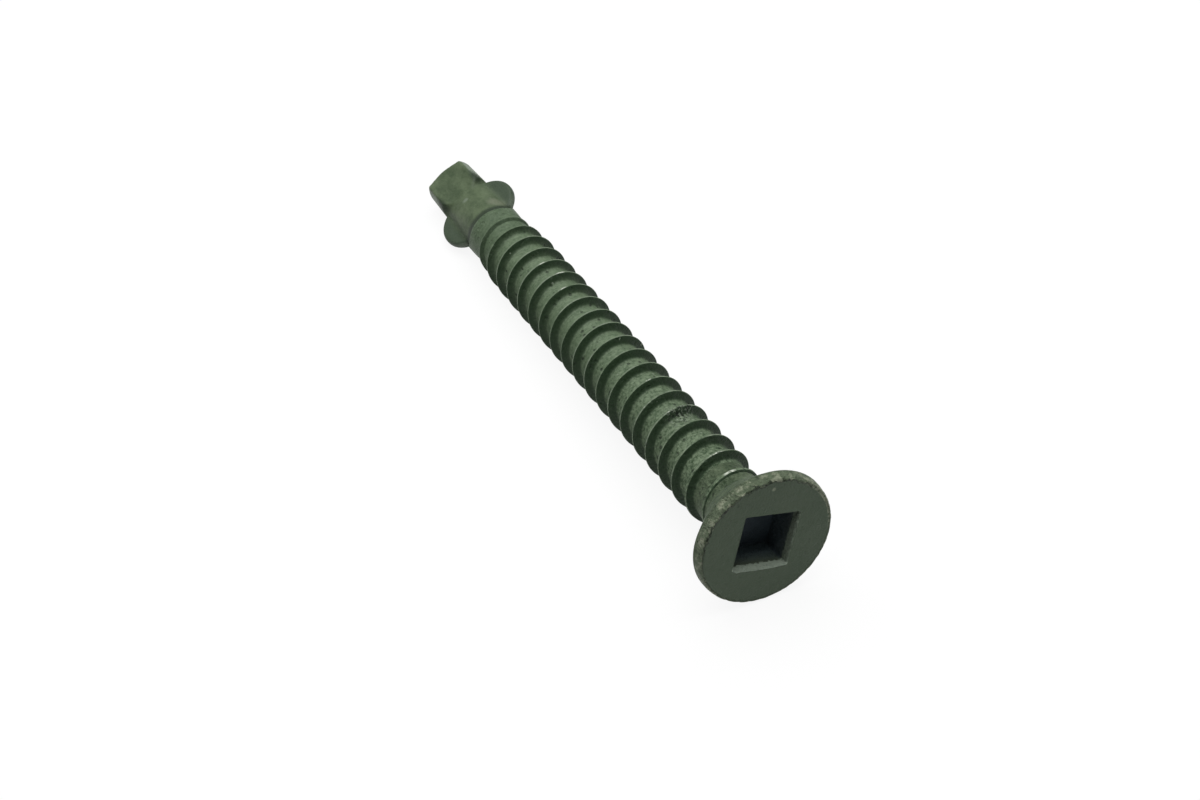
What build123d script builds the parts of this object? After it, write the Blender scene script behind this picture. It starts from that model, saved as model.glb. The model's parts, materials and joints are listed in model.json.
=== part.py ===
from build123d import *
from math import atan2, ceil, cos, degrees, floor, radians, sin, tan
import os

# A winged self-drilling screw for fibre cement sheet. It lies as it comes to rest, on the rim of
# its head and on a crest of its thread. Depths run along the screw's axis, from the flat face of
# the head towards the point, and distances to the point run back from it. Lengths are
# millimetres and angles are degrees.

# Overall
overall_length = 44.0

# Head
rim_diameter = 8.27
rim_chamfer = 0.135
rim_chamfer_depth = 0.5
rim_depth = 0.7
countersink_angle = 82.0
flare_starts_at = 3.05

# Square recess
square_width = 3.42
square_depth = 2.15
square_draft = 1.0
square_chamfer = 0.1
square_turn = 45.0

# Wire left plain under the head and before the wings
neck_diameter = 3.86
neck_to_point = 7.35

# Thread: right-hand, 16 turns to the inch
thread_pitch = 25.4 / 16
thread_major_diameter = 4.54
thread_root_diameter = 3.48
head_side_flank_angle = 20.0
point_side_flank_angle = 30.0
crest_depth = 5.46
places_per_turn = 16

# Depths where the crest starts under the neck, rises and is full, and where the root leaves the
# neck and is full
thread_starts_at = 2.8
crest_rises_from = 3.45
crest_full_from = 5.68
root_leaves_neck = 3.7
root_full_from = 5.6

# Distances back from the end of the far neck, where the crest sinks from, is under the neck and
# ends, and where the root climbs from and is back at the neck
crest_full_before = 3.85
crest_sunk_before = 1.15
thread_ends_before = 0.6
root_full_before = 3.35
root_back_before = 0.75
crest_under_neck = 0.07
root_overlap = 0.05

# Wings, rolled about the axis from level
wing_roll = 31.4
wing_to_point = 5.52
wing_radius = 2.17
wing_span = 5.54
wing_thickness = 0.6

# Body between the wings, pinched narrower towards the drill
pinch_start_diameter = 3.6
pinch_end_width = 2.3
pinch_end_height = 1.7
pinch_into_drill = 0.8

# Drill, with a broad shallow flute on each side
drill_length = 4.1
shoulder_length = 0.65
shoulder_start_diameter = 2.3
shoulder_diameter = 3.52
drill_end_diameter = 3.26
drill_web = 1.8
flute_radius = 7.0
point_angle = 118.0

# Depths that follow the overall length
neck_end = overall_length - neck_to_point
crest_full_to = neck_end - crest_full_before
crest_sinks_to = neck_end - crest_sunk_before
thread_ends_at = neck_end - thread_ends_before
root_full_to = neck_end - root_full_before
root_back_at_neck = neck_end - root_back_before
wing_depth = overall_length - wing_to_point
shoulder_start = overall_length - drill_length
shoulder_depth = shoulder_start + shoulder_length
pinch_end_depth = shoulder_start + pinch_into_drill

# Half sizes that the sections are drawn with
rim_radius = rim_diameter / 2
face_radius = rim_radius - rim_chamfer
neck_radius = neck_diameter / 2
crest_radius = thread_major_diameter / 2
root_radius = thread_root_diameter / 2
buried_crest_radius = neck_radius - crest_under_neck
wing_offset = wing_span / 2 - wing_radius


# The crest's radius at a depth: full in the middle, and sinking under the neck at both ends
def crest_radius_at(depth):
    rise = (depth - crest_rises_from) / (crest_full_from - crest_rises_from)
    fall = (crest_sinks_to - depth) / (crest_sinks_to - crest_full_to)
    share = max(0, min(1, rise, fall))
    return buried_crest_radius + (crest_radius - buried_crest_radius) * share


# Where the screw touches the floor: the far edge of its rim, and the crest that gets there first
underside_angle = wing_roll - 90
underside_crest_depth = crest_depth + thread_pitch * (underside_angle - 90) / 360
first_turn = ceil((crest_full_from - underside_crest_depth) / thread_pitch)
last_turn = floor((thread_ends_at - underside_crest_depth) / thread_pitch)
tilts = []
for turn in range(first_turn, last_turn + 1):
    depth = underside_crest_depth + turn * thread_pitch
    drop = rim_radius - crest_radius_at(depth)
    tilts.append(degrees(atan2(drop, depth - rim_depth)))
rest_tilt = min(tilts)

# Ways along and across the lying screw
to_point = Vector(-cos(radians(rest_tilt)), 0, -sin(radians(rest_tilt)))
upward = Vector(-sin(radians(rest_tilt)), 0, cos(radians(rest_tilt)))
sideways = upward.cross(to_point)
to_wing = sideways * cos(radians(wing_roll)) - upward * sin(radians(wing_roll))
to_flute = to_point.cross(to_wing)

# The origin is on the floor, under the middle of the screw
reach_to_point = overall_length * cos(radians(rest_tilt))
reach_past_face = face_radius * sin(radians(rest_tilt))
face_height = rim_radius * cos(radians(rest_tilt)) + rim_depth * sin(radians(rest_tilt))
face_center = Vector((reach_to_point - reach_past_face) / 2, 0, face_height)

# The face plane has the wings along x, the flutes along y and the point along z. The other two
# hold the axis along x, the side section with a wing along y and the flat one with a flute.
screw_axis = Axis(face_center, to_point)
face_plane = Plane(origin=face_center, x_dir=to_wing, z_dir=to_point)
side_section = Plane(origin=face_center, x_dir=to_point, z_dir=to_flute)
flat_section = Plane(origin=face_center, x_dir=to_point, z_dir=to_wing)

# How far the feet of the ridge lie from under its crest
ridge_height = crest_radius - root_radius
head_side_run = ridge_height * tan(radians(head_side_flank_angle))
point_side_run = ridge_height * tan(radians(point_side_flank_angle))


# A place on the thread: a crest depth on the helix, and the offset and radius from there
def thread_place(depth, offset, radius):
    angle = radians(90 + (depth - crest_depth) * 360 / thread_pitch)
    return face_plane.from_local_coords((radius * cos(angle), radius * sin(angle), depth + offset))


# An edge of the ridge over one turn
def winding(turn_start, offset, on_crest):
    places = []
    for step in range(places_per_turn + 1):
        depth = turn_start + thread_pitch * step / places_per_turn
        radius = crest_radius_at(depth) if on_crest else root_radius
        places.append(thread_place(depth, offset, radius))
    return Edge.make_spline(places)


# A flat end of the thread, from the axis to the ridge, over one pitch
def thread_end(depth):
    corners = [
        thread_place(depth, point_side_run - thread_pitch, 0),
        thread_place(depth, point_side_run - thread_pitch, root_radius),
        thread_place(depth, -head_side_run, root_radius),
        thread_place(depth, 0, crest_radius_at(depth)),
        thread_place(depth, point_side_run, root_radius),
        thread_place(depth, point_side_run, 0),
    ]
    return Face(Wire.make_polygon(corners))


# A spiral step from the root of the thread in to the axis, over one turn
def spiral_step(turn_start, offset):
    rim = winding(turn_start, offset, False)
    middle = Edge.make_line(
        thread_place(turn_start, offset, 0),
        thread_place(turn_start + thread_pitch, offset, 0),
    )
    return Face.make_surface_from_curves(rim, middle)


# Thread: the root and the two flanks of each turn, closed at both ends inside the necks
turns = ceil((thread_ends_at - thread_starts_at) / thread_pitch)
first_crest = thread_ends_at - turns * thread_pitch
last_crest = thread_ends_at - thread_pitch
thread_faces = [
    thread_end(first_crest),
    spiral_step(first_crest, point_side_run - thread_pitch),
    thread_end(thread_ends_at),
    spiral_step(last_crest, point_side_run),
]
for turn in range(turns):
    turn_start = first_crest + turn * thread_pitch
    edges = [
        winding(turn_start, point_side_run - thread_pitch, False),
        winding(turn_start, -head_side_run, False),
        winding(turn_start, 0, True),
        winding(turn_start, point_side_run, False),
    ]
    for edge, next_edge in zip(edges, edges[1:]):
        thread_faces.append(Face.make_surface_from_curves(edge, next_edge))
thread_skin = Face.sew_faces(thread_faces)
with BuildPart() as thread:
    add(Solid(Shell(thread_skin[0])))

# Body between the wings: a taper from the neck, pinched flat on the flutes' sides
with BuildPart() as pinched_body:
    with BuildSketch(side_section):
        with BuildLine():
            Polyline(
                (root_back_at_neck, 0),
                (root_back_at_neck, pinch_start_diameter / 2),
                (pinch_end_depth, pinch_end_width / 2),
                (pinch_end_depth, 0),
                close=True,
            )
        make_face()
    revolve(axis=screw_axis)
    with BuildSketch(flat_section):
        with BuildLine():
            Polyline(
                (root_back_at_neck, pinch_start_diameter / 2),
                (pinch_end_depth, pinch_end_height / 2),
                (pinch_end_depth, -pinch_end_height / 2),
                (root_back_at_neck, -pinch_start_diameter / 2),
                close=True,
            )
        make_face()
    extrude(amount=pinch_start_diameter, both=True, mode=Mode.INTERSECT)

# Wings: one thin plate through the body, with its rounded ends standing out on both sides
with BuildPart() as wings:
    with BuildSketch(side_section):
        with Locations((wing_depth, wing_offset), (wing_depth, -wing_offset)):
            Circle(wing_radius)
    extrude(amount=wing_thickness / 2, both=True)

# Drill: a turned bar with a 45 degree shoulder and a cone point, hollowed by the two flutes
point_corner_depth = overall_length - drill_end_diameter / 2 / tan(radians(point_angle / 2))
with BuildPart() as drill:
    with BuildSketch(side_section):
        with BuildLine():
            Polyline(
                (shoulder_start, 0),
                (shoulder_start, shoulder_start_diameter / 2),
                (shoulder_depth, shoulder_diameter / 2),
                (point_corner_depth, drill_end_diameter / 2),
                (overall_length, 0),
                close=True,
            )
        make_face()
    revolve(axis=screw_axis)
    with BuildSketch(face_plane.offset(shoulder_start)):
        flute_centre = drill_web / 2 + flute_radius
        with Locations((0, flute_centre), (0, -flute_centre)):
            Circle(flute_radius)
    extrude(amount=overall_length - shoulder_start, mode=Mode.SUBTRACT)

# Screw: the thread between its two turned necks, the pinched body, the wings and the drill
cone_angle = radians(countersink_angle / 2)
flare_radius = rim_radius - (flare_starts_at - rim_depth) * tan(cone_angle)
mouth_width = square_width + 2 * square_chamfer
with BuildPart() as screw:
    add(thread.part)
    with BuildSketch(side_section):
        with BuildLine():
            Polyline(
                (0, 0),
                (0, face_radius),
                (rim_chamfer_depth, rim_radius),
                (rim_depth, rim_radius),
                (flare_starts_at, flare_radius),
                (root_leaves_neck, neck_radius),
                (root_full_from, root_radius - root_overlap),
                (root_full_from, 0),
                close=True,
            )
        make_face()
    revolve(axis=screw_axis)
    with BuildSketch(side_section):
        with BuildLine():
            Polyline(
                (root_full_to, 0),
                (root_full_to, root_radius - root_overlap),
                (root_back_at_neck, neck_radius),
                (neck_end, neck_radius),
                (neck_end, 0),
                close=True,
            )
        make_face()
    revolve(axis=screw_axis)
    add(pinched_body.part)
    add(wings.part)
    add(drill.part)
    with BuildSketch(face_plane):
        Rectangle(square_width, square_width, rotation=square_turn)
    extrude(amount=square_depth, taper=square_draft, mode=Mode.SUBTRACT)
    with BuildSketch(face_plane):
        Rectangle(mouth_width, mouth_width, rotation=square_turn)
    extrude(amount=square_chamfer, taper=45, mode=Mode.SUBTRACT)

screw.part.label = "screw"

os.makedirs("parts", exist_ok=True)
export_step(screw.part, "parts/screw.step")
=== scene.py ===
import json
import math
import bpy
from mathutils import Matrix, Vector, noise


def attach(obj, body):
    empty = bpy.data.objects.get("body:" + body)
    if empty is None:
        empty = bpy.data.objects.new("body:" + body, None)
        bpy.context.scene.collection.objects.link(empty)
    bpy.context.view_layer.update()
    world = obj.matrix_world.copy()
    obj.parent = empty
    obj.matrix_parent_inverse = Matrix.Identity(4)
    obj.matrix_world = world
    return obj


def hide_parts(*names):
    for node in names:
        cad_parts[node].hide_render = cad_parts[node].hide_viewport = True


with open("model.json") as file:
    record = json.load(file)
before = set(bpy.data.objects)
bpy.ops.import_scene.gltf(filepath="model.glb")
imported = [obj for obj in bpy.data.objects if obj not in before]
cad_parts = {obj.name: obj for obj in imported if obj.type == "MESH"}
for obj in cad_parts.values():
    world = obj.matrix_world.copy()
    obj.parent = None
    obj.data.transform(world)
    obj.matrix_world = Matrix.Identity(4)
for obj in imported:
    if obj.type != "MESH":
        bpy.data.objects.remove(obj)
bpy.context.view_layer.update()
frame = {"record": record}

# The screw is modelled in millimetres, standing on its head face: depth runs up Z towards the
# point, the wings lie along X and one flute faces Y. At the end it is laid where the CAD has it.
millimetre = 0.001
mounts = {mount["name"]: mount for mount in frame["record"]["mounts"]}
faceCentre = Vector(mounts["drive_recess"]["pos_m"])
toPoint = Vector(mounts["threaded_shank"]["axis"]).normalized()
wingRoll = math.radians(31.4)  # the wing on the camera's side is this far below level
upward = Vector((toPoint.z, 0, -toPoint.x))
sideways = upward.cross(toPoint)
toWing = sideways * math.cos(wingRoll) - upward * math.sin(wingRoll)
toFlute = toPoint.cross(toWing)
screwAxes = Matrix((toWing, toFlute, toPoint)).transposed()
layDown = Matrix.Translation(faceCentre) @ screwAxes.to_4x4() @ Matrix.Scale(millimetre, 4)

mergeWithin = 0.0005  # vertices this close become one
closeBy = 0.01  # vertices this close to a place count as being there


def deselectAll():
    bpy.ops.object.select_all(action="DESELECT")


def pickOnly(*objects):
    deselectAll()
    for item in objects:
        item.select_set(True)
    bpy.context.view_layer.objects.active = objects[0]


def pickVertices(piece, wanted):  # leaves the piece in edit mode
    bpy.ops.object.mode_set(mode="EDIT")
    bpy.ops.mesh.select_mode(type="VERT")
    bpy.ops.mesh.select_all(action="DESELECT")
    bpy.ops.object.mode_set(mode="OBJECT")
    for vertex in piece.data.vertices:
        vertex.select = wanted(vertex.co)
    bpy.ops.object.mode_set(mode="EDIT")


def applyModifier(piece, kind, **values):
    pickOnly(piece)
    bpy.ops.object.modifier_add(type=kind)
    modifier = piece.modifiers[-1]
    for name, value in values.items():
        setattr(modifier, name, value)
    bpy.ops.object.modifier_apply(modifier=modifier.name)


def widen(factor):  # what is selected, about the axis
    bpy.ops.transform.resize(value=(factor, factor, 1), center_override=(0, 0, 0))


def pullRings(rings, depth, radius, pull=bpy.ops.mesh.extrude_edges_move):
    # Pulls what is selected to one (depth, radius) pair after another
    for nextDepth, nextRadius in rings:
        pull(TRANSFORM_OT_translate={"value": (0, 0, nextDepth - depth)})
        widen(nextRadius / radius)
        depth, radius = nextDepth, nextRadius


def arcRings(centre, size, fromAngle, toAngle, steps):  # 0 degrees is deeper and 90 outwards
    rings = []
    for step in range(1, steps + 1):
        angle = math.radians(fromAngle + (toAngle - fromAngle) * step / steps)
        rings.append((centre[0] + size[0] * math.cos(angle), centre[1] + size[1] * math.sin(angle)))
    return rings


def mergeDoubles():
    bpy.ops.mesh.select_all(action="SELECT")
    bpy.ops.mesh.remove_doubles(threshold=mergeWithin)


def closeAndTurnOut():
    mergeDoubles()
    bpy.ops.mesh.normals_make_consistent(inside=False)
    bpy.ops.object.mode_set(mode="OBJECT")


# Head and first neck
head = {
    "squareWidth": 3.42,
    "squareDepth": 2.15,
    "squareDraft": 1.0,
    "squareTurn": 45,
    "squareCorner": 0.1,
    "cornerSteps": 4,
    "sideCuts": 44,
    "mouthChamfer": 0.07,
    "ringRadii": (3.0, 3.3, 3.55, 3.75, 3.88, 3.95),  # of the rings on the face
    "faceRadius": 4.0,
    "rimRadius": 4.13,
    "rimDepth": 0.5,
    "rimSteps": 8,
    "landDepth": 0.7,
    "countersinkAngle": 82,
    "coneSteps": 8,
    "neckRadius": 1.93,
    "neckFillet": 1.0,
    "filletSteps": 6,
    "neckEnd": 3.7,
    "rootDepth": 5.6,
    "rootRadius": 1.69,
    # Wear of the recess's lower edge: it stays clear of the corners and fades towards them
    "wornDepth": 0.42,
    "wornWidth": 0.1,
    "wearBand": 0.1,
    "wearClearOfCorners": 0.02,
    "wearFadesLeft": 0.25,
    "wearFadesRight": 1.0,
    "wearWaves": 0.3,
    "wearWaveScale": 3.1,
    "wearWaveRow": 7.7,  # the row of the noise that is read
    # Burrs along the face's edge, in full between two directions in degrees, smaller elsewhere
    "burrSize": 0.13,
    "leastBurrShare": 0.25,
    "burrsFrom": 30,
    "burrsTo": 155,
    "burrsFadeOver": 15,
    "burrsInside": 0.06,
    "burrsAboveLand": 0.05,
    "dentScale": 2.3,
    "dentRow": 3.0,
    "fineDentScale": 6,
    "fineDentRow": 9.0,
    "fineDentShare": 0.6,
    "bumpScale": 4,
    "bumpShare": 0.8,
}


def headRings(values):  # over the face's edge, the rim, the cone and the neck
    rings = [(0, radius) for radius in values["ringRadii"][1:]]
    rings.append((0, values["faceRadius"]))
    rimCentre = (values["rimDepth"], values["faceRadius"])
    rimSize = (values["rimDepth"], values["rimRadius"] - values["faceRadius"])
    rings += arcRings(rimCentre, rimSize, 180, 90, values["rimSteps"])
    rings.append((values["landDepth"], values["rimRadius"]))
    slope = math.radians(values["countersinkAngle"] / 2)
    coneEnd = values["landDepth"] + (values["rimRadius"] - values["neckRadius"]) / math.tan(slope)
    setback = values["neckFillet"] * math.tan(slope / 2)
    coneLength = coneEnd - setback * math.cos(slope) - values["landDepth"]
    for step in range(1, values["coneSteps"] + 1):
        along = coneLength * step / values["coneSteps"]
        rings.append((values["landDepth"] + along, values["rimRadius"] - along * math.tan(slope)))
    filletCentre = (coneEnd + setback, values["neckRadius"] + values["neckFillet"])
    filletSize = (values["neckFillet"], values["neckFillet"])
    filletStart = 270 - values["countersinkAngle"] / 2
    rings += arcRings(filletCentre, filletSize, filletStart, 270, values["filletSteps"])
    rings += [(values["neckEnd"], values["neckRadius"]), (values["rootDepth"], values["rootRadius"])]
    return rings


def makeHead(values):
    half = values["squareWidth"] / 2
    floorHalf = half - values["squareDepth"] * math.tan(math.radians(values["squareDraft"]))
    turn = math.radians(values["squareTurn"])
    deselectAll()
    bpy.ops.mesh.primitive_plane_add(size=2 * floorHalf, location=(0, 0, 0))
    piece = bpy.context.object
    piece.name = "screwHead"
    bpy.ops.object.mode_set(mode="EDIT")
    bpy.ops.mesh.select_all(action="SELECT")
    bpy.ops.transform.rotate(value=turn, orient_axis="Z", center_override=(0, 0, 0))
    bpy.ops.transform.translate(value=(0, 0, values["squareDepth"]))
    bpy.ops.mesh.bevel(affect="VERTICES", offset=values["squareCorner"], segments=values["cornerSteps"])
    bpy.ops.mesh.select_mode(type="EDGE")
    bpy.ops.object.mode_set(mode="OBJECT")
    corners = [vertex.co.copy() for vertex in piece.data.vertices]
    for edge in piece.data.edges:  # the four sides, without the rounded corners
        first, last = edge.vertices
        edge.select = (corners[first] - corners[last]).length > half
    bpy.ops.object.mode_set(mode="EDIT")
    bpy.ops.mesh.subdivide(number_cuts=values["sideCuts"])
    bpy.ops.mesh.select_all(action="SELECT")
    bpy.ops.mesh.poke()
    pickVertices(piece, lambda place: place.xy.length > half / 2)  # all but the floor's middle
    bpy.ops.mesh.select_mode(type="EDGE")
    walls = ((values["mouthChamfer"], half), (0, half + values["mouthChamfer"]))
    pullRings(walls, values["squareDepth"], floorHalf)
    # The mouth's square edge is spread to a circle on the face
    bpy.ops.mesh.extrude_edges_move()
    bpy.ops.transform.tosphere(value=1)
    bpy.ops.object.mode_set(mode="OBJECT")
    roundRadius = max(vertex.co.xy.length for vertex in piece.data.vertices if vertex.select)
    bpy.ops.object.mode_set(mode="EDIT")
    widen(values["ringRadii"][0] / roundRadius)
    pullRings(headRings(values), 0, values["ringRadii"][0])
    bpy.ops.mesh.edge_face_add()
    closeAndTurnOut()
    wearMouth(piece, values)
    roughenRim(piece, values)
    return piece


def wearMouth(piece, values):  # the driver has worn the recess's lower edge back
    half = values["squareWidth"] / 2
    for vertex in piece.data.vertices:
        place = vertex.co
        across = (place.x - place.y) / math.sqrt(2)
        along = (place.x + place.y) / math.sqrt(2)
        beside = across < half - closeBy or across > half + values["wearBand"]
        if beside or abs(along) > half - values["wearClearOfCorners"]:
            continue
        toRight = (half + along) / values["wearFadesRight"]
        toLeft = (half - along) / values["wearFadesLeft"]
        wave = noise.noise(Vector((values["wearWaveScale"] * along, values["wearWaveRow"], 0)))
        wear = min(1, toRight, toLeft) * (1 + values["wearWaves"] * wave)
        if abs(place.z - values["mouthChamfer"]) < closeBy:
            place.z += (values["wornDepth"] - values["mouthChamfer"]) * wear
        elif abs(place.z) < closeBy:
            place.x += values["wornWidth"] * wear / math.sqrt(2)
            place.y -= values["wornWidth"] * wear / math.sqrt(2)


def roughenRim(piece, values):  # small burrs along the face's edge, most of them on one side
    for vertex in piece.data.vertices:
        place = vertex.co
        radius = place.xy.length
        inside = radius < values["faceRadius"] - values["burrsInside"]
        if inside or place.z > values["landDepth"] - values["burrsAboveLand"]:
            continue
        turned = math.degrees(math.atan2(place.y, place.x))
        fromEnd = min(turned - values["burrsFrom"], values["burrsTo"] - turned)
        full = min(1, max(0, fromEnd / values["burrsFadeOver"] + 0.5))
        least = values["leastBurrShare"]
        size = values["burrSize"] * (least + (1 - least) * full)
        wide, fine = place * values["dentScale"], place * values["fineDentScale"]
        dent = abs(noise.noise(Vector((wide.x, wide.y, values["dentRow"]))))
        fineDent = abs(noise.noise(Vector((fine.x, fine.y, values["fineDentRow"]))))
        bump = noise.noise(place * values["bumpScale"])
        dent += values["fineDentShare"] * fineDent
        place.xy *= (radius - size * dent) / radius
        place.z = max(0, place.z + size * values["bumpShare"] * bump)


screwHead = makeHead(head)
print("head", len(screwHead.data.polygons))

# Thread: the outline of one pitch, from root to root, swept round and up
thread = {
    "pitch": 25.4 / 16,
    "crestRadius": 2.25,
    "rootRadius": 1.74,
    "crestWidth": 0.12,
    "headSideFlank": 16,
    "pointSideFlank": 30,
    # Size and steps of each rounding
    "crestRound": (0.045, 2),
    "headSideFillet": (0.2, 4),
    "pointSideFillet": (0.1, 3),
    "crestDepth": 5.46,  # on the flute's side
    "startsAt": 2.8,
    "endsAt": 35.3,
    "stepsPerTurn": 120,
    # Depths and the radius that the crest may have there, so that it sinks towards both ends
    "crestLimit": (
        (2.95, 1.86), (3.3, 1.98), (4.4, 2.035), (5.95, 2.32),
        (31.2, 2.3), (32.6, 2.16), (34.1, 2.0), (35.3, 1.86),
    ),
}


def threadOutline(values):  # (depth, radius) corners about the middle of the crest
    height = values["crestRadius"] - values["rootRadius"]
    headRun = height * math.tan(math.radians(values["headSideFlank"]))
    pointRun = height * math.tan(math.radians(values["pointSideFlank"]))
    halfCrest = values["crestWidth"] / 2
    halfRoot = (values["pitch"] - values["crestWidth"] - headRun - pointRun) / 2
    return [
        (-halfCrest - headRun - halfRoot, values["rootRadius"]),
        (-halfCrest - headRun, values["rootRadius"]),
        (-halfCrest, values["crestRadius"]),
        (halfCrest, values["crestRadius"]),
        (halfCrest + pointRun, values["rootRadius"]),
        (halfCrest + pointRun + halfRoot, values["rootRadius"]),
    ]


def radiusAt(depth, places):  # places are (depth, radius) pairs in order
    for (before, beforeRadius), (after, afterRadius) in zip(places, places[1:]):
        if depth < after:
            share = max(0, (depth - before) / (after - before))
            return beforeRadius + (afterRadius - beforeRadius) * share
    return places[-1][1]


def cutAt(depth, **thrownAway):
    bpy.ops.mesh.select_all(action="SELECT")
    bpy.ops.mesh.bisect(plane_co=(0, 0, depth), plane_no=(0, 0, 1), use_fill=True, **thrownAway)


def makeThread(values):
    outline = threadOutline(values)
    # The crest passes the flute's side at crestDepth, a quarter turn after the sweep's start
    turnsBefore = math.ceil((values["crestDepth"] - values["startsAt"]) / values["pitch"]) + 1
    lift = values["crestDepth"] - values["pitch"] * (turnsBefore + 0.25)
    deselectAll()
    bpy.ops.mesh.primitive_plane_add(size=1)  # merged into the outline's first point
    piece = bpy.context.object
    piece.name = "screwThread"
    bpy.ops.object.mode_set(mode="EDIT")
    bpy.ops.mesh.select_mode(type="VERT")
    bpy.ops.mesh.select_all(action="SELECT")
    bpy.ops.mesh.merge(type="CENTER")
    bpy.ops.mesh.select_all(action="SELECT")
    bpy.ops.transform.translate(value=(outline[0][1], 0, outline[0][0] + lift))
    for (depth, radius), (nextDepth, nextRadius) in zip(outline, outline[1:]):
        step = (nextRadius - radius, 0, nextDepth - depth)
        bpy.ops.mesh.extrude_vertices_move(TRANSFORM_OT_translate={"value": step})
    for (depth, radius), (size, steps) in (
        (outline[1], values["headSideFillet"]),
        (outline[4], values["pointSideFillet"]),
        (outline[2], values["crestRound"]),
        (outline[3], values["crestRound"]),
    ):
        corner = Vector((radius, 0, depth + lift))
        pickVertices(piece, lambda place: (place - corner).length < closeBy)
        bpy.ops.mesh.bevel(affect="VERTICES", offset=size, segments=steps)
    bpy.ops.object.mode_set(mode="OBJECT")
    turns = math.ceil((values["endsAt"] - lift) / values["pitch"]) + 1
    applyModifier(
        piece, "SCREW", axis="Z", angle=2 * math.pi, screw_offset=values["pitch"], iterations=turns,
        steps=values["stepsPerTurn"], render_steps=values["stepsPerTurn"],
    )
    bpy.ops.object.mode_set(mode="EDIT")
    mergeDoubles()
    cutAt(values["startsAt"], clear_inner=True)
    cutAt(values["endsAt"], clear_outer=True)
    closeAndTurnOut()
    for vertex in piece.data.vertices:
        place = vertex.co
        radius = place.xy.length
        limit = radiusAt(place.z, values["crestLimit"])
        if radius > limit:
            place.x *= limit / radius
            place.y *= limit / radius
    return piece


screwThread = makeThread(thread)
print("thread", len(screwThread.data.polygons))

# Plain neck before the wings, which ends in a small step
tailNeck = {
    # (depth, radius) pairs, of which the last ones turn in at the step
    "rings": (
        (31.8, 1.72), (32.6, 1.77), (34.0, 1.81), (35.4, 1.9), (35.7, 1.92),
        (36.4, 1.93), (36.55, 1.925), (36.61, 1.9), (36.65, 1.85), (36.65, 1.6),
    ),
    "roundSteps": 128,
    "bowsFrom": 34.2,
    "bowsFullyFrom": 36.35,
    "pinchSetback": 1.0,  # the neck ends this much nearer the head at the pinched sides
}


def makeTailNeck(values):
    depth, radius = values["rings"][0]
    deselectAll()
    bpy.ops.mesh.primitive_circle_add(
        vertices=values["roundSteps"], radius=radius, fill_type="NGON", location=(0, 0, 0)
    )
    piece = bpy.context.object
    piece.name = "screwTailNeck"
    bpy.ops.object.mode_set(mode="EDIT")
    bpy.ops.mesh.select_all(action="SELECT")
    bpy.ops.transform.translate(value=(0, 0, depth))
    bpy.ops.mesh.select_mode(type="EDGE")
    # The face stays as the end cap, and the loose edge of its copy is pulled
    bpy.ops.mesh.duplicate()
    bpy.ops.mesh.delete(type="ONLY_FACE")
    bpy.ops.mesh.select_non_manifold(
        extend=False, use_wire=True, use_boundary=False, use_multi_face=False,
        use_non_contiguous=False, use_verts=False,
    )
    pullRings(values["rings"][1:], depth, radius)
    bpy.ops.mesh.edge_face_add()
    closeAndTurnOut()
    # The step bows: it is furthest back at the pinched sides and falls off by a cube towards the wings
    for vertex in piece.data.vertices:
        place = vertex.co
        share = (place.z - values["bowsFrom"]) / (values["bowsFullyFrom"] - values["bowsFrom"])
        bow = 1 - (1 - abs(place.y) / place.xy.length) ** 3
        place.z -= values["pinchSetback"] * bow * min(1, max(0, share))
    return piece


screwTailNeck = makeTailNeck(tailNeck)
print("tail neck", len(screwTailNeck.data.polygons))

# Drill end: pinched body, wings and drill, melted together as one forged shape
drillEnd = {
    "bodyStart": 35.1,
    "bodyStartRadius": 1.82,
    "bodyEnd": 40.7,
    "bodyEndHalfWidth": 1.56,
    "bodyEndHalfHeight": 0.88,
    "wingDepth": 38.48,
    "wingRadius": 2.17,
    "wingOffset": 0.6,
    "wingThickness": 0.6,
    "wingRound": 0.2,
    "wingRoundSteps": 4,
    "shoulderStart": 39.9,
    "shoulderDepth": 40.55,
    "shoulderStartRadius": 1.15,
    "shoulderRadius": 1.76,
    "drillEndRadius": 1.68,
    "length": 44.0,
    "pointAngle": 124,
    "webHalf": 0.9,
    "fluteRadius": 7.0,
    "fluteLength": 8.0,
    "roundSteps": 96,
    "wingSteps": 128,
    "fluteSteps": 256,
    "voxel": 0.055,
    "smoothing": 5,
    # The forged middle is smoothed further, and further out where the wings leave the body
    "meltedFrom": 37.2,
    "meltedTo": 41.6,
    "meltedHalfWidth": 1.55,
    "meltedSmoothing": 60,
    "wingRootHalfWidth": 2.0,
    "wingRootTo": 39.3,
    "smoothingFactor": 0.5,
}


def addCylinder(radius, length, place, steps, turn=(0, 0, 0)):
    deselectAll()
    bpy.ops.mesh.primitive_cylinder_add(
        vertices=steps, radius=radius, depth=length, location=place, rotation=turn
    )
    return bpy.context.object


def makeBody(values):  # a cylinder squeezed to the pinch at its far end
    length = values["bodyEnd"] - values["bodyStart"]
    place = (0, 0, (values["bodyStart"] + values["bodyEnd"]) / 2)
    body = addCylinder(values["bodyStartRadius"], length, place, values["roundSteps"])
    bpy.ops.object.transform_apply(location=True)
    pickVertices(body, lambda place: place.z > values["bodyEnd"] - closeBy)
    narrower = values["bodyEndHalfWidth"] / values["bodyStartRadius"]
    flatter = values["bodyEndHalfHeight"] / values["bodyStartRadius"]
    bpy.ops.transform.resize(value=(narrower, flatter, 1), center_override=(0, 0, values["bodyEnd"]))
    bpy.ops.object.mode_set(mode="OBJECT")
    return body


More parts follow.
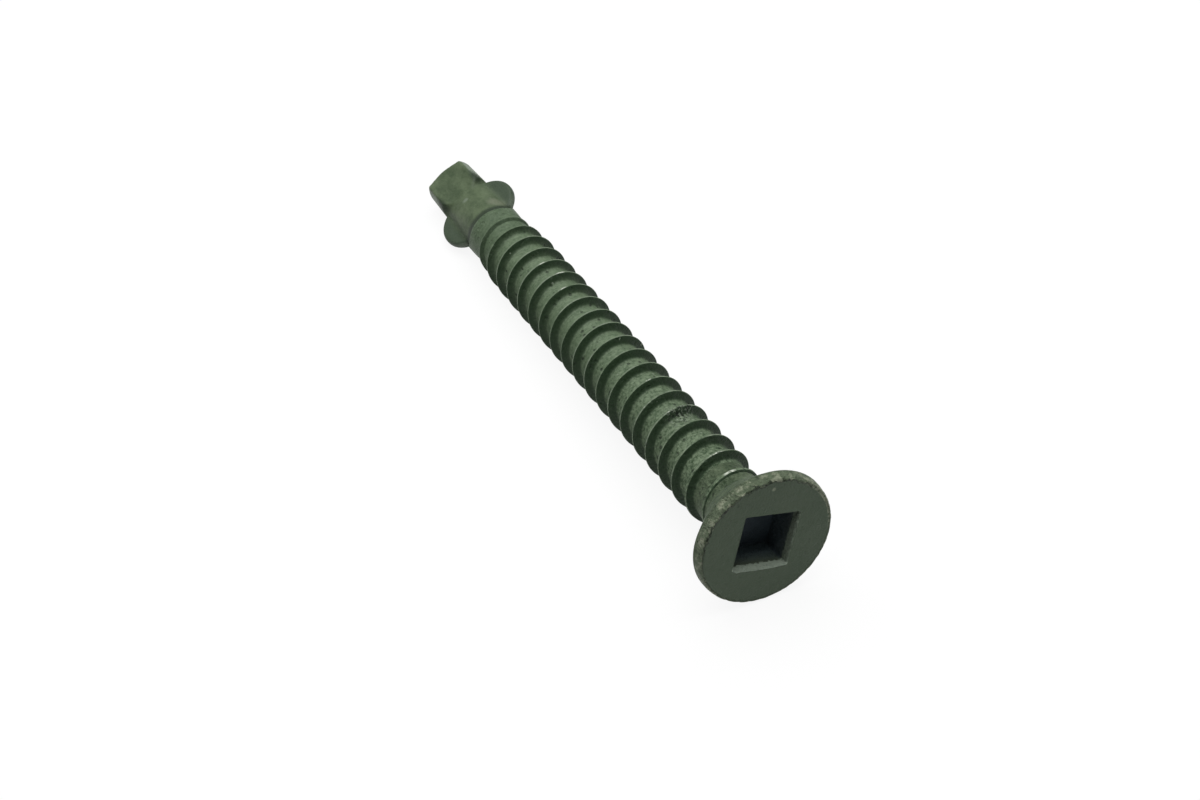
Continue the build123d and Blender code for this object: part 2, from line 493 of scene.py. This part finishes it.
def makeWing(values, side):
    place = (side * values["wingOffset"], 0, values["wingDepth"])
    onEdge = (math.pi / 2, 0, 0)
    wing = addCylinder(values["wingRadius"], values["wingThickness"], place, values["wingSteps"], onEdge)
    bpy.ops.object.transform_apply(location=True, rotation=True)
    applyModifier(
        wing, "BEVEL", width=values["wingRound"], segments=values["wingRoundSteps"], limit_method="ANGLE"
    )
    return wing


def makeDrill(values):  # shoulder, bar and blunt point, hollowed by the two flutes
    slope = math.radians(values["pointAngle"] / 2)
    pointDepth = values["length"] - values["drillEndRadius"] / math.tan(slope)
    start, startRadius = values["shoulderStart"], values["shoulderStartRadius"]
    deselectAll()
    bpy.ops.mesh.primitive_circle_add(
        vertices=values["roundSteps"], radius=startRadius, fill_type="NGON", location=(0, 0, start)
    )
    drill = bpy.context.object
    bpy.ops.object.transform_apply(location=True)
    bpy.ops.object.mode_set(mode="EDIT")
    bpy.ops.mesh.select_all(action="SELECT")
    rings = ((values["shoulderDepth"], values["shoulderRadius"]), (pointDepth, values["drillEndRadius"]))
    pullRings(rings, start, startRadius, bpy.ops.mesh.extrude_region_move)
    bpy.ops.mesh.poke(offset=values["length"] - pointDepth)
    bpy.ops.mesh.select_all(action="SELECT")
    bpy.ops.mesh.normals_make_consistent(inside=False)
    bpy.ops.object.mode_set(mode="OBJECT")
    for side in (-1, 1):
        away = side * (values["webHalf"] + values["fluteRadius"])
        place = (0, away, start + values["fluteLength"] / 2)
        cutter = addCylinder(values["fluteRadius"], values["fluteLength"], place, values["fluteSteps"])
        applyModifier(drill, "BOOLEAN", operation="DIFFERENCE", object=cutter, solver="EXACT")
        bpy.data.objects.remove(cutter)
    return drill


def makeDrillEnd(values):
    parts = [makeBody(values), makeWing(values, -1), makeWing(values, 1), makeDrill(values)]
    pickOnly(*parts)
    bpy.ops.object.join()
    piece = bpy.context.object
    piece.name = "screwDrillEnd"
    applyModifier(piece, "REMESH", mode="VOXEL", voxel_size=values["voxel"])
    melted = piece.vertex_groups.new(name="melted")
    for vertex in piece.data.vertices:
        depth = vertex.co.z
        reach = values["wingRootHalfWidth"] if depth < values["wingRootTo"] else values["meltedHalfWidth"]
        if values["meltedFrom"] < depth < values["meltedTo"] and abs(vertex.co.x) < reach:
            melted.add([vertex.index], 1, "REPLACE")
    factor = values["smoothingFactor"]
    applyModifier(
        piece, "SMOOTH", factor=factor, iterations=values["meltedSmoothing"], vertex_group="melted"
    )
    applyModifier(piece, "SMOOTH", factor=factor, iterations=values["smoothing"])
    piece.vertex_groups.clear()
    return piece


screwDrillEnd = makeDrillEnd(drillEnd)
print("drill end", len(screwDrillEnd.data.polygons))

# Coatings. Their patterns read the place in the screw's own frame, in millimetres, through a
# Mapping node that undoes the laying down. In the values below, a fade holds the two measures
# between which it runs and, where it isn't from 0 to 1, the shares there.
coat = {
    "roughness": 0.55,
    "specularLevel": 0.28,
    "pit": (0.018, 0.03, 0.016, 1),
    "pits": {"Scale": 2.1, "Size": 0.27, "Share": 0.55},
}


def addNode(tree, kind, inputs, **settings):
    node = tree.nodes.new(kind)
    for name, value in settings.items():
        setattr(node, name, value)
    for key, value in inputs.items():
        if isinstance(value, bpy.types.NodeSocket):
            tree.links.new(value, node.inputs[key])
        else:
            node.inputs[key].default_value = value
    return node


def calc(tree, operation, first, second=0.0, clamp=False):
    inputs = {0: first, 1: second}
    return addNode(tree, "ShaderNodeMath", inputs, operation=operation, use_clamp=clamp).outputs[0]


def plus(tree, *terms):
    total = terms[0]
    for term in terms[1:]:
        total = calc(tree, "ADD", total, term)
    return total


def times(tree, *factors):
    product = factors[0]
    for factor in factors[1:]:
        product = calc(tree, "MULTIPLY", product, factor)
    return product


def mean(tree, *tones):
    return times(tree, plus(tree, *tones), 1 / len(tones))


def without(tree, share):
    return calc(tree, "SUBTRACT", 1.0, share)


def swing(tree, tone, size):  # a tone from 0 to 1 as a swing about nothing
    return times(tree, calc(tree, "SUBTRACT", tone, 0.5), size)


def fade(tree, value, low, high, start=0.0, end=1.0):
    inputs = {0: value, 1: low, 2: high, 3: start, 4: end}
    return addNode(tree, "ShaderNodeMapRange", inputs, interpolation_type="SMOOTHSTEP").outputs[0]


def stretch(tree, place, scale):
    return addNode(tree, "ShaderNodeVectorMath", {0: place, 1: scale}, operation="MULTIPLY").outputs[0]


def measure(tree, operation, *vectors):
    inputs = dict(enumerate(vectors))
    return addNode(tree, "ShaderNodeVectorMath", inputs, operation=operation).outputs["Value"]


def near(tree, place, spot, reach):  # 1 at the spot, 0 from reach millimetres on
    fullWithin = 0.35 * reach
    return fade(tree, measure(tree, "DISTANCE", place, spot), reach, fullWithin)


def blend(tree, share, first, second):
    inputs = {0: share, 6: first, 7: second}
    return addNode(tree, "ShaderNodeMix", inputs, data_type="RGBA").outputs[2]


def paintOver(tree, under, colour, *shares):  # as strongly as the product of the shares
    return blend(tree, times(tree, *shares), under, colour)


def useGroup(tree, group, **inputs):
    return addNode(tree, "ShaderNodeGroup", inputs, node_tree=group).outputs[0]


def newGroup(name, inputs, output):
    group = bpy.data.node_groups.new(name, "ShaderNodeTree")
    for label, kind in inputs.items():
        group.interface.new_socket(label, in_out="INPUT", socket_type="NodeSocket" + kind)
    group.interface.new_socket(output, in_out="OUTPUT", socket_type="NodeSocketFloat")
    given = group.nodes.new("NodeGroupInput").outputs
    result = group.nodes.new("NodeGroupOutput").inputs[output]
    return group, given, result


def noiseFrom(tree, **inputs):
    return addNode(tree, "ShaderNodeTexNoise", inputs).outputs["Fac"]


def makeCloudyTone():  # from 0 to 1, in patches about one over Scale millimetres wide
    tree, given, result = newGroup(
        "cloudyTone", {"Place": "Vector", "Scale": "Float", "Contrast": "Float"}, "Tone"
    )
    clouds = noiseFrom(tree, Vector=given["Place"], Scale=given["Scale"], Detail=5.0, Roughness=0.62)
    tone = calc(tree, "ADD", swing(tree, clouds, given["Contrast"]), 0.5, clamp=True)
    tree.links.new(tone, result)
    return tree


speckShape = {
    "raggedness": 0.25,
    "edgeSharpness": 2.5,
}


def makeScatteredSpecks(values):  # Size is a speck's radius in cells, Share the part of cells with one
    tree, given, result = newGroup(
        "scatteredSpecks", {"Place": "Vector", "Scale": "Float", "Size": "Float", "Share": "Float"}, "Mask"
    )
    cells = addNode(tree, "ShaderNodeTexVoronoi", {"Vector": given["Place"], "Scale": given["Scale"]})
    clouds = noiseFrom(tree, Vector=given["Place"], Scale=7.0, Detail=2.0)
    reach = plus(tree, cells.outputs["Distance"], swing(tree, clouds, values["raggedness"]))
    inside = addNode(tree, "ShaderNodeMapRange", {0: reach, 1: given["Size"], 2: 0.0}).outputs[0]
    inside = calc(tree, "MULTIPLY", inside, values["edgeSharpness"], clamp=True)
    lot = addNode(tree, "ShaderNodeSeparateColor", {0: cells.outputs["Color"]}).outputs[0]
    chosen = calc(tree, "LESS_THAN", lot, given["Share"])
    tree.links.new(times(tree, inside, chosen), result)
    return tree


def makeCoatGrain():  # height of the coating's fine grain and its shallow waves
    tree, given, result = newGroup("coatGrain", {"Place": "Vector", "Waves": "Float"}, "Height")
    fine = noiseFrom(tree, Vector=given["Place"], Scale=9.0, Detail=3.0)
    broad = noiseFrom(tree, Vector=given["Place"], Scale=1.6, Detail=3.0)
    tree.links.new(plus(tree, fine, times(tree, broad, given["Waves"])), result)
    return tree


cloudyTone = makeCloudyTone()
scatteredSpecks = makeScatteredSpecks(speckShape)
coatGrain = makeCoatGrain()


def cloudsIn(tree, place, values):
    return useGroup(tree, cloudyTone, Place=place, **values)


def startCoating(name):
    material = bpy.data.materials.new(name)
    material.use_nodes = True
    tree = material.node_tree
    coordinates = addNode(tree, "ShaderNodeTexCoord", {}).outputs
    laidDown = {
        "Vector": coordinates["Object"],
        "Location": faceCentre,
        "Rotation": screwAxes.to_euler(),
        "Scale": (millimetre, millimetre, millimetre),
    }
    place = addNode(tree, "ShaderNodeMapping", laidDown, vector_type="TEXTURE").outputs[0]
    radius = measure(tree, "LENGTH", stretch(tree, place, (1, 1, 0)))
    depth = addNode(tree, "ShaderNodeSeparateXYZ", {0: place}).outputs["Z"]
    toHead = measure(tree, "DOT_PRODUCT", coordinates["Normal"], -toPoint)
    return material, tree, place, radius, depth, toHead


def finishCoating(tree, colour, height, relief):
    surface = tree.nodes["Principled BSDF"]
    surface.inputs["Roughness"].default_value = coat["roughness"]
    surface.inputs["Specular IOR Level"].default_value = coat["specularLevel"]
    bump = addNode(tree, "ShaderNodeBump", {"Strength": 1.0, "Distance": relief, "Height": height})
    tree.links.new(colour, surface.inputs["Base Color"])
    tree.links.new(bump.outputs[0], surface.inputs["Normal"])


threadFinish = {
    "shade": (0.038, 0.072, 0.032, 1),
    "light": (0.195, 0.26, 0.162, 1),
    "flankShade": (0.018, 0.041, 0.016, 1),
    "chalk": (0.36, 0.42, 0.33, 1),
    "bareAndGlint": (0.62, 0.67, 0.57, 1),
    "nick": (0.006, 0.012, 0.006, 1),
    # Mottling, which is grainier towards the head and darker on the last turns
    "tone": {"Scale": 1.1, "Contrast": 2.2},
    "streaks": {"Scale": 1.7, "Contrast": 3.6},
    "streakStretch": (1, 1, 4),
    "grain": {"Scale": 5.5, "Contrast": 3.4},
    "grainByDepth": (22.0, 5.0, 0.75, 2.1),
    "lightByDepth": (31.0, 34.5, 1.0, 0.62),
    # Pits in the roots and pale specks, both on the turns alone
    "turnsByDepth": (34.0, 32.0),
    "rootsByRadius": (2.1, 1.9),
    "pitStrength": 0.75,
    "specks": {"Scale": 1.3, "Size": 0.1, "Share": 0.3},
    "speckStrength": 0.5,
    # Painted shade on the flanks that face the head, less on the last turns and at their feet
    "flankFacing": (0.35, 0.8),
    "flankByDepth": (30.5, 34.0, 1.0, 0.65),
    "footByRadius": (2.15, 1.8),
    "footByDepth": (16.0, 28.0, 0.02, 0.32),
    "flankMottling": 0.5,
    # Pale patches on the crest, a painted highlight
    "patches": {"Scale": 0.8, "Contrast": 3.5},
    "crestByRadius": (2.2, 2.26),
    "patchStrength": 0.4,
    # Pale spots on the crest, the first two bare wear with painted highlight, the rest painted glints: place,
    # the radius from which they show, how far and how strongly
    "crestWearAndGlints": (
        ((-1.13, 1.95, 5.59), 2.18, 0.5, 1.0),
        ((-1.0, 1.76, 4.0), 1.93, 0.5, 1.0),
        ((-0.7, 2.14, 10.29), 2.18, 0.25, 0.5),
        ((-1.05, 1.99, 13.54), 2.18, 0.25, 0.6),
        ((-0.83, 2.09, 24.59), 2.18, 0.35, 0.7),
        ((-1.36, 1.78, 26.22), 2.18, 0.4, 0.95),
        ((-0.89, 2.04, 27.73), 2.18, 0.35, 0.7),
    ),
    "wearEdge": 0.05,
    "wearFacing": (0.6, 0.2),
    "wearByGrain": (0.2, 0.55),
    # A scuffed place with pale marks and dark nicks
    "scuff": (-1.2, 1.62, 10.2),
    "scuffReach": 1.3,
    "marks": {"Scale": 5.0, "Contrast": 3.4},
    "marksByTone": (0.5, 0.75),
    "markStrength": 0.5,
    "nicks": {"Scale": 4.6, "Contrast": 3.4},
    "nickStretch": (1, 1, 1.6),
    "nicksByTone": (0.42, 0.24),
    "nickStrength": 0.9,
    # Height
    "waves": 2.0,
    "pitDepth": 1.5,
    "grainHeightByDepth": (22.0, 5.0, 0.3, 1.3),
    "relief": 0.00003,
}


def makeThreadCoating(values):
    material, tree, place, radius, depth, toHead = startCoating("threadCoating")
    tone = cloudsIn(tree, place, values["tone"])
    streaks = cloudsIn(tree, stretch(tree, place, values["streakStretch"]), values["streaks"])
    grain = cloudsIn(tree, place, values["grain"])
    grainy = plus(tree, swing(tree, grain, fade(tree, depth, *values["grainByDepth"])), 0.5)
    mixed = times(tree, mean(tree, tone, streaks, grainy, grainy), fade(tree, depth, *values["lightByDepth"]))
    colour = blend(tree, mixed, values["shade"], values["light"])

    # Pits in the roots
    onTurns = fade(tree, depth, *values["turnsByDepth"])
    inRoots = fade(tree, radius, *values["rootsByRadius"])
    pits = useGroup(tree, scatteredSpecks, Place=place, **coat["pits"])
    colour = paintOver(tree, colour, coat["pit"], pits, inRoots, onTurns, values["pitStrength"])

    # Painted shade on the flanks that face the head
    flankShade = fade(tree, toHead, *values["flankFacing"])
    foot = times(tree, fade(tree, radius, *values["footByRadius"]), fade(tree, depth, *values["footByDepth"]))
    flankShadeShare = times(tree, flankShade, fade(tree, depth, *values["flankByDepth"]), without(tree, foot))
    mottling = times(tree, grain, values["flankMottling"])
    flankShadeColour = blend(tree, mottling, values["flankShade"], values["shade"])
    colour = paintOver(tree, colour, flankShadeColour, flankShadeShare)

    # Pale specks, a painted highlight on the crest, and its bare wear and painted glints
    specks = useGroup(tree, scatteredSpecks, Place=place, **values["specks"])
    colour = paintOver(tree, colour, values["chalk"], specks, onTurns, values["speckStrength"])
    patches = cloudsIn(tree, place, values["patches"])
    crest = times(tree, fade(tree, radius, *values["crestByRadius"]), without(tree, flankShade))
    colour = paintOver(tree, colour, values["chalk"], crest, patches, values["patchStrength"])
    highlitWear = times(
        tree, fade(tree, toHead, *values["wearFacing"]), fade(tree, grain, *values["wearByGrain"])
    )
    for spot, radiusFrom, reach, strength in values["crestWearAndGlints"]:
        worn = times(tree, near(tree, place, spot, reach), highlitWear, strength)
        highEnough = fade(tree, radius, radiusFrom, radiusFrom + values["wearEdge"])
        colour = paintOver(tree, colour, values["bareAndGlint"], worn, highEnough)

    # The scuffed place
    scuffed = near(tree, place, values["scuff"], values["scuffReach"])
    marks = fade(tree, cloudsIn(tree, place, values["marks"]), *values["marksByTone"])
    colour = paintOver(tree, colour, values["chalk"], scuffed, marks, values["markStrength"])
    nicks = cloudsIn(tree, stretch(tree, place, values["nickStretch"]), values["nicks"])
    nicks = fade(tree, nicks, *values["nicksByTone"])
    colour = paintOver(tree, colour, values["nick"], scuffed, nicks, values["nickStrength"])

    waves = useGroup(tree, coatGrain, Place=place, Waves=values["waves"])
    grainHeight = times(tree, grain, fade(tree, depth, *values["grainHeightByDepth"]))
    height = plus(tree, waves, times(tree, pits, -values["pitDepth"]), grainHeight)
    finishCoating(tree, colour, height, values["relief"])
    return material


headFinish = {
    "face": (0.083, 0.121, 0.075, 1),
    "faceCloud": (0.094, 0.13, 0.083, 1),
    "sideShade": (0.03, 0.06, 0.025, 1),
    "sideLight": (0.19, 0.25, 0.152, 1),
    "burr": (0.4, 0.44, 0.31, 1),
    "rim": (0.2, 0.245, 0.16, 1),
    "recess": (0.125, 0.172, 0.19, 1),
    "recessRightShade": (0.05, 0.07, 0.082, 1),
    "recessMouth": (0.1, 0.13, 0.085, 1),
    "recessFloorShade": (0.046, 0.066, 0.08, 1),
    "wornAndLitEdge": (0.46, 0.55, 0.44, 1),
    # Mottling of the side and of the face
    "tone": {"Scale": 1.4, "Contrast": 2.6},
    "grain": {"Scale": 4.5, "Contrast": 3.2},
    "faceClouds": {"Scale": 0.4, "Contrast": 3.0},
    "pitStrength": 0.7,
    # The rim is paler, with pale burrs
    "rimByRadius": (3.7, 3.85),
    "rimByDepth": (0.8, 0.4),
    "rimStrength": 0.4,
    "burrs": {"Scale": 2.1, "Contrast": 3.6},
    "burrsByTone": (0.48, 0.95),
    "burrStrength": 0.85,
    # A pale mark on the face
    "faceMark": (-2.11, 2.73, 0),
    "faceMarkReach": 0.16,
    "faceMarkStrength": 0.5,
    # The face's edge is ragged, and chipped towards one side, with a painted shadow line along the chips
    "raggedEdge": {"Scale": 2.4, "Contrast": 2.5},
    "raggedness": 0.5,
    "faceFacing": (0.6, 0.85),
    "faceFacingAtLeast": (0.3, 0.6),
    "chipsTowards": (-0.2, 0.98, 0),
    "chipsByPlace": (0.5, 2.5),
    "chipSize": 0.75,
    "chipOffset": 0.04,
    "faceByRadius": (4.0, 3.88),
    "chipShadow": 3.4,
    # A pale stretch of the edge, wear with painted highlight
    "highlitWear": (-4.0, -0.7, 0.1),
    "highlitWearReach": 2.6,
    "highlitWearByRadius": (3.78, 3.9),
    "highlitWearByDepth": (0.4, 0.2),
    "highlitWearByGrain": (0.3, 0.6),
    "highlitWearStrength": 0.8,
    # The recess gets painted light and shade: its walls are bluer further in, painted light, and its right
    # wall and its floor get painted shade
    "recessRadius": 2.6,
    "recessByDepth": (0.03, 0.12),
    "recessEnd": 2.5,
    "wallByDepth": (0.3, 1.5),
    "downwards": (0.7071, -0.7071, 0),
    "rightwards": (-0.7071, -0.7071, 0),
    "rightWallByPlace": (1.5, 1.62),
    "rightWallByDepth": (0.35, 0.75),
    "rightWallStrength": 0.75,
    "floorFacing": (0.5, 0.9),
    # Worn walls, pale with the wear and with painted light where the lower one faces up: how deep and
    # how strongly this shows on the lower and on the right one, and how far past that depth its edge fades
    "lowerWear": (0.4, 1.0),
    "rightWear": (0.5, 0.35),
    "wearRaggedness": 0.12,
    "wearByPlace": (1.6, 1.68),
    "wearFadesFrom": -0.02,
    "wearFadesTo": 0.06,
    "wearFacing": (0.99, 0.95),
    # Height
    "waves": 1.5,
    "lumps": 2.0,
    "relief": 0.00006,
}


def makeHeadCoating(values):
    material, tree, place, radius, depth, toHead = startCoating("headCoating")
    tone = cloudsIn(tree, place, values["tone"])
    grain = cloudsIn(tree, place, values["grain"])
    ragged = swing(tree, cloudsIn(tree, place, values["raggedEdge"]), values["raggedness"])

    # The side: rim and cone
    side = blend(tree, mean(tree, tone, grain), values["sideShade"], values["sideLight"])
    pits = useGroup(tree, scatteredSpecks, Place=place, **coat["pits"])
    side = paintOver(tree, side, coat["pit"], pits, values["pitStrength"])
    onRim = times(tree, fade(tree, radius, *values["rimByRadius"]), fade(tree, depth, *values["rimByDepth"]))
    side = paintOver(tree, side, values["rim"], onRim, values["rimStrength"])
    burrs = fade(tree, cloudsIn(tree, place, values["burrs"]), *values["burrsByTone"])
    side = paintOver(tree, side, values["burr"], burrs, onRim, values["burrStrength"])

    # The face, up to its ragged and chipped edge, with a painted shadow line along the chips
    face = blend(tree, cloudsIn(tree, place, values["faceClouds"]), values["face"], values["faceCloud"])
    mark = near(tree, place, values["faceMark"], values["faceMarkReach"])
    face = paintOver(tree, face, values["burr"], mark, values["faceMarkStrength"])
    towardsChips = measure(tree, "DOT_PRODUCT", place, values["chipsTowards"])
    chipped = fade(tree, towardsChips, *values["chipsByPlace"])
    chips = times(tree, plus(tree, ragged, values["chipOffset"]), chipped, values["chipSize"])
    unchipped = fade(tree, plus(tree, radius, chips), *values["faceByRadius"])
    facing = fade(tree, plus(tree, toHead, ragged), *values["faceFacing"])
    onFace = times(tree, facing, fade(tree, toHead, *values["faceFacingAtLeast"]), unchipped)
    colour = blend(tree, onFace, side, face)
    outline = times(tree, unchipped, without(tree, unchipped), chipped, values["chipShadow"])
    colour = paintOver(tree, colour, coat["pit"], outline)
    # A pale stretch of the edge: wear with painted highlight
    highlitWear = times(
        tree, near(tree, place, values["highlitWear"], values["highlitWearReach"]),
        fade(tree, radius, *values["highlitWearByRadius"]), fade(tree, depth, *values["highlitWearByDepth"]),
        fade(tree, grain, *values["highlitWearByGrain"]),
    )
    colour = paintOver(tree, colour, values["burr"], highlitWear, values["highlitWearStrength"])

    # The recess, in painted light and shade
    amongWalls = calc(tree, "LESS_THAN", radius, values["recessRadius"])
    aboveEnd = calc(tree, "LESS_THAN", depth, values["recessEnd"])
    wall = blend(tree, fade(tree, depth, *values["wallByDepth"]), values["recessMouth"], values["recess"])
    downwards = measure(tree, "DOT_PRODUCT", place, values["downwards"])
    rightwards = measure(tree, "DOT_PRODUCT", place, values["rightwards"])
    rightWall = fade(tree, rightwards, *values["rightWallByPlace"])
    deepEnough = fade(tree, depth, *values["rightWallByDepth"])
    wall = paintOver(tree, wall, values["recessRightShade"], rightWall, deepEnough, values["rightWallStrength"])
    wall = paintOver(tree, wall, values["recessFloorShade"], fade(tree, toHead, *values["floorFacing"]))
    inRecess = fade(tree, depth, *values["recessByDepth"])
    colour = paintOver(tree, colour, wall, amongWalls, inRecess, aboveEnd)
    # Its worn lower edge is pale, wear with painted light where it faces up, and so is a little of the wall
    # to the right of it
    wearDepth = plus(tree, depth, swing(tree, grain, values["wearRaggedness"]))
    offFace = fade(tree, toHead, *values["wearFacing"])
    for towards, (wear, strength) in ((downwards, values["lowerWear"]), (rightwards, values["rightWear"])):
        onWall = fade(tree, towards, *values["wearByPlace"])
        worn = fade(tree, wearDepth, wear + values["wearFadesTo"], wear + values["wearFadesFrom"])
        colour = paintOver(tree, colour, values["wornAndLitEdge"], onWall, amongWalls, worn, offFace, strength)

    waves = useGroup(tree, coatGrain, Place=place, Waves=values["waves"])
    lumps = times(tree, plus(tree, tone, grain), without(tree, onFace), values["lumps"])
    finishCoating(tree, colour, plus(tree, waves, lumps), values["relief"])
    return material


drillFinish = {
    "shade": (0.046, 0.074, 0.034, 1),
    "light": (0.118, 0.16, 0.087, 1),
    "wing": (0.046, 0.07, 0.044, 1),
    "rim": (0.2, 0.245, 0.185, 1),
    "hollowShade": (0.02, 0.035, 0.018, 1),
    "beigeHighlight": (0.15, 0.175, 0.115, 1),
    # Mottling
    "tone": {"Scale": 0.8, "Contrast": 3.8},
    "toneStretch": (1.4, 1, 0.7),
    "grain": {"Scale": 4.5, "Contrast": 2.0},
    # Darker wings with pale edges towards the head
    "wingByWidth": (1.2, 2.1),
    "wingEndByDepth": (40.4, 40.2),
    "wingStartByDepth": (36.6, 36.75),
    "wingStrength": 0.85,
    "wingRimFacing": (0.35, 0.8),
    "wingRimStrength": 0.7,
    # Painted highlight along the drill's margins
    "marginByWidth": (1.38, 1.5),
    "marginByDepth": (40.9, 41.3),
    # Painted shade in the hollow where each wing meets the drill, longer along the axis
    "notch": (1.56, 0.95, 40.55),
    "notchStretch": (1.3, 1, 0.5),
    "notchReach": 0.68,
    "notchStrength": 0.9,
    # A painted shadow line past the neck's end
    "stepByDepth": (0.95, 0.5),
    "stepByWidth": (2.0, 1.7),
    "stepStrength": 0.9,
    # A painted highlight patch and a small painted glint
    "highlightPatch": (-1.5, 0.95, 37.1),
    "patchReach": 0.9,
    "patchStrength": 0.9,
    "glintDot": (0.08, 1.15, 39.09),
    "dotReach": 0.3,
    "dotStrength": 0.6,
    # Height
    "waves": 2.0,
    "relief": 0.00002,
}


def makeDrillCoating(values):
    material, tree, place, radius, depth, toHead = startCoating("drillCoating")
    tone = cloudsIn(tree, stretch(tree, place, values["toneStretch"]), values["tone"])
    grain = cloudsIn(tree, place, values["grain"])
    colour = blend(tree, mean(tree, tone, tone, grain), values["shade"], values["light"])

    # Wings, painted highlight on the margins and painted shade in the hollows, alike on all sides
    mirrored = addNode(tree, "ShaderNodeVectorMath", {0: place}, operation="ABSOLUTE").outputs[0]
    sides = addNode(tree, "ShaderNodeSeparateXYZ", {0: mirrored}).outputs
    onWing = times(
        tree, fade(tree, sides["X"], *values["wingByWidth"]),
        fade(tree, depth, *values["wingEndByDepth"]), fade(tree, depth, *values["wingStartByDepth"]),
    )
    colour = paintOver(tree, colour, values["wing"], onWing, values["wingStrength"])
    facing = fade(tree, toHead, *values["wingRimFacing"])
    colour = paintOver(tree, colour, values["rim"], onWing, facing, values["wingRimStrength"])
    marginHighlight = fade(tree, sides["X"], *values["marginByWidth"])
    onDrill = fade(tree, depth, *values["marginByDepth"])
    colour = paintOver(tree, colour, values["rim"], marginHighlight, onDrill)
    notch = Vector(values["notch"]) * Vector(values["notchStretch"])
    notchShade = near(tree, stretch(tree, mirrored, values["notchStretch"]), notch, values["notchReach"])
    colour = paintOver(tree, colour, values["hollowShade"], notchShade, values["notchStrength"])

    # The painted shadow line bows as the tail neck's rings do
    flat = without(tree, calc(tree, "DIVIDE", sides["Y"], radius))
    bow = times(tree, without(tree, times(tree, flat, flat, flat)), tailNeck["pinchSetback"])
    pastStep = calc(tree, "SUBTRACT", plus(tree, depth, bow), tailNeck["rings"][-1][0])
    stepShadow = fade(tree, pastStep, *values["stepByDepth"])
    clearOfWings = fade(tree, sides["X"], *values["stepByWidth"])
    colour = paintOver(tree, colour, values["hollowShade"], stepShadow, clearOfWings, values["stepStrength"])

    # The painted highlight patch and the painted glint
    highlightPatch = near(tree, place, values["highlightPatch"], values["patchReach"])
    colour = paintOver(tree, colour, values["beigeHighlight"], highlightPatch, values["patchStrength"])
    glintDot = near(tree, place, values["glintDot"], values["dotReach"])
    colour = paintOver(tree, colour, values["rim"], glintDot, values["dotStrength"])
    height = useGroup(tree, coatGrain, Place=place, Waves=values["waves"])
    finishCoating(tree, colour, height, values["relief"])
    return material


headCoating = makeHeadCoating(headFinish)
threadCoating = makeThreadCoating(threadFinish)
drillCoating = makeDrillCoating(drillFinish)
print("coatings", len(bpy.data.node_groups))

smoothBelow = math.radians(32)
for piece, coating in (
    (screwHead, headCoating),
    (screwThread, threadCoating),
    (screwTailNeck, threadCoating),
    (screwDrillEnd, drillCoating),
):
    piece.data.transform(layDown)
    pickOnly(piece)
    bpy.ops.object.shade_smooth_by_angle(angle=smoothBelow)
    piece.data.materials.clear()
    piece.data.materials.append(coating)
    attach(piece, "root")
    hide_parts("screw")
print("laid down")

# Studio: a pale floor, one broad soft light overhead and behind, and a dim sky. The camera sees
# both white, reflections see the floor white, and the floor keeps a faint shadow.
studio = {
    "floorSize": 3.0,
    "floorGrey": 0.45,
    "shadowShare": 0.1,
    "skyStrength": 0.13,
    "keyPlace": (-0.09, 0.0, 0.42),
    "keySize": 0.6,
    "keyPower": 3.0,
}
white = (1, 1, 1, 1)
deselectAll()
bpy.ops.mesh.primitive_plane_add(size=studio["floorSize"], location=(0, 0, 0))
floor = bpy.context.object
floor.name = "studioFloor"
floorPaint = bpy.data.materials.new("paleFloor")
floorPaint.use_nodes = True
tree = floorPaint.node_tree
seen = addNode(tree, "ShaderNodeLightPath", {}).outputs
whiteSeen = calc(tree, "MAXIMUM", seen["Is Camera Ray"], seen["Is Glossy Ray"])
grey = (studio["floorGrey"],) * 3 + (1,)
matt = addNode(tree, "ShaderNodeBsdfDiffuse", {"Color": blend(tree, whiteSeen, grey, white)}).outputs[0]
glow = addNode(tree, "ShaderNodeEmission", {"Strength": 1.0}).outputs[0]
glowShare = times(tree, whiteSeen, 1 - studio["shadowShare"])
floorMix = addNode(tree, "ShaderNodeMixShader", {0: glowShare, 1: matt, 2: glow}).outputs[0]
tree.links.new(floorMix, tree.nodes["Material Output"].inputs["Surface"])
floor.data.materials.append(floorPaint)

bpy.ops.object.light_add(type="AREA", location=studio["keyPlace"])
keyLight = bpy.context.object
keyLight.data.size = studio["keySize"]
keyLight.data.energy = studio["keyPower"]
keyLight.rotation_euler = (-keyLight.location).to_track_quat("-Z", "Y").to_euler()

world = bpy.data.worlds.new("studioSky")
bpy.context.scene.world = world
world.use_nodes = True
tree = world.node_tree
seen = addNode(tree, "ShaderNodeLightPath", {}).outputs
whiteSeen = calc(tree, "MAXIMUM", seen["Is Camera Ray"], seen["Is Transmission Ray"])
skyInputs = {0: whiteSeen, 3: studio["skyStrength"], 4: 1.0}
skyStrength = addNode(tree, "ShaderNodeMapRange", skyInputs).outputs[0]
tree.links.new(skyStrength, tree.nodes["Background"].inputs["Strength"])
tree.nodes["Background"].inputs["Color"].default_value = white
print("studio")

# Camera, placed from the middle of the screw's face
camera = {
    "fromFace": (0.07503, -0.04709, 0.08168),
    "looksAlong": (-0.69484, 0.34338, -0.63189),
    "lens": 66.81,
    "sensorWidth": 36,
    "clipStart": 0.005,
}
bpy.ops.object.camera_add(location=faceCentre + Vector(camera["fromFace"]))
photoCamera = bpy.context.object
photoCamera.rotation_euler = Vector(camera["looksAlong"]).to_track_quat("-Z", "Y").to_euler()
photoCamera.data.lens = camera["lens"]
photoCamera.data.sensor_width = camera["sensorWidth"]
photoCamera.data.clip_start = camera["clipStart"]
bpy.context.scene.camera = photoCamera
bpy.context.scene.view_settings.view_transform = "Standard"
print("camera")
